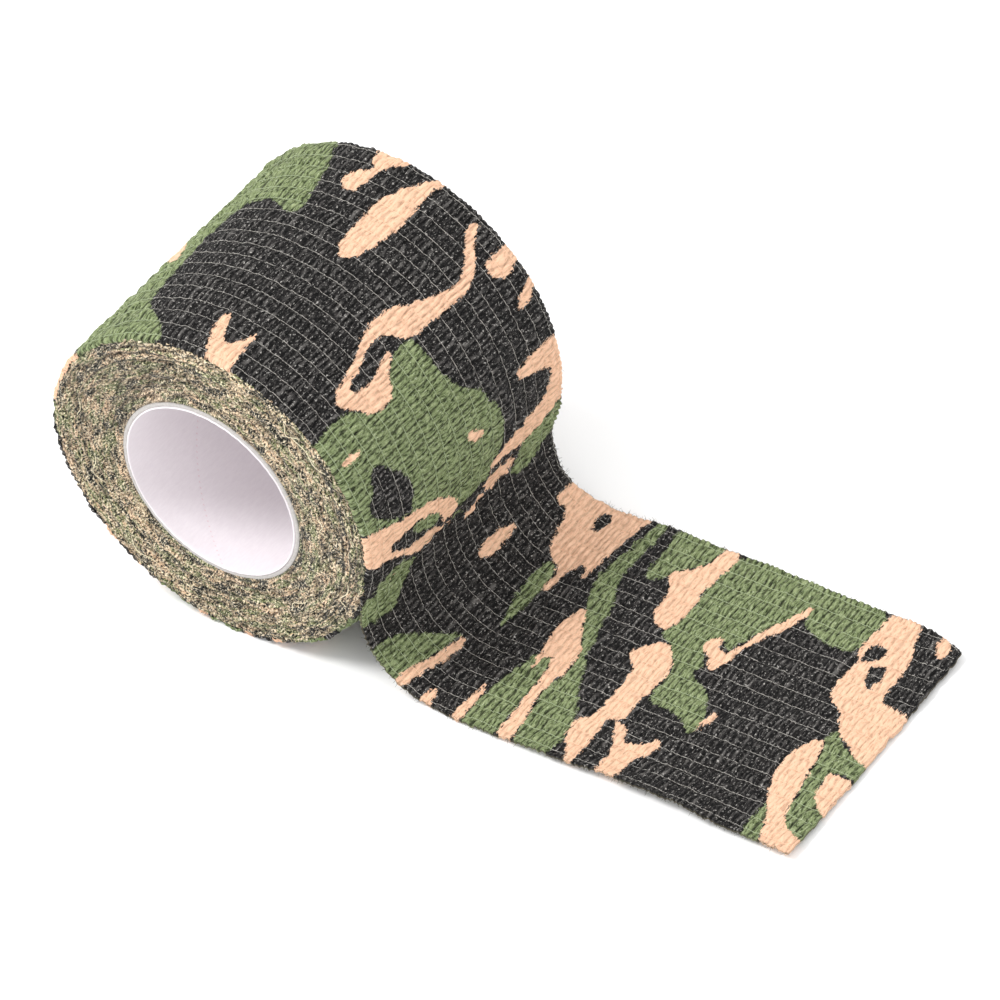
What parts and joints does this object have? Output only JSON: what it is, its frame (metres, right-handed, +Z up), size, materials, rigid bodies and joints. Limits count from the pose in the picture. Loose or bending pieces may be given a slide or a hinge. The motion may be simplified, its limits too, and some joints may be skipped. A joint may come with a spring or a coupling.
{
  "type": "self-clinging wrap tape roll",
  "caption": "Roll of crinkled camouflage self-clinging elastic wrap tape on a two-ply paper core; the roll turns as tape peels off and the free end lies flat and lifts.",
  "frame": {"origin": "centre of the core's bore, midway between the two side faces", "axes": "+Y along the core's axis, +X toward the tape's free end, +Z up from the surface it rests on"},
  "size_m": [0.1252, 0.05, 0.0564],
  "materials": {
    "core_paper": "satin",
    "core_board": "matte",
    "wound_web": "matte",
    "printed_web": "matte",
    "back_web": "matte",
    "elastic": "satin"
  },
  "bodies": {
    "lead": {"bend_back_web": "back_web", "bend_threads": "elastic", "bend_face_web": "printed_web"},
    "roll": {"core_inner_ply": "core_paper", "core_outer_ply": "core_board", "wound_tape": "wound_web", "outer_turn_back_web": "back_web", "outer_turn_threads": "elastic", "outer_turn_face_web": "printed_web"},
    "tail": {"tail_back_web": "back_web", "tail_threads": "elastic", "tail_face_web": "printed_web"}
  },
  "joints": [
    {"name": "roll_spin", "type": "hinge", "parent": "lead", "child": "roll", "pos_m": [0, 0, 0], "axis": [0, 1, 0], "continuous": true},
    {"name": "tail_lift", "type": "hinge", "parent": "lead", "child": "tail", "pos_m": [0.03792, 0, -0.0276], "axis": [0, -1, 0], "range_deg": [0, 90]}
  ]
}
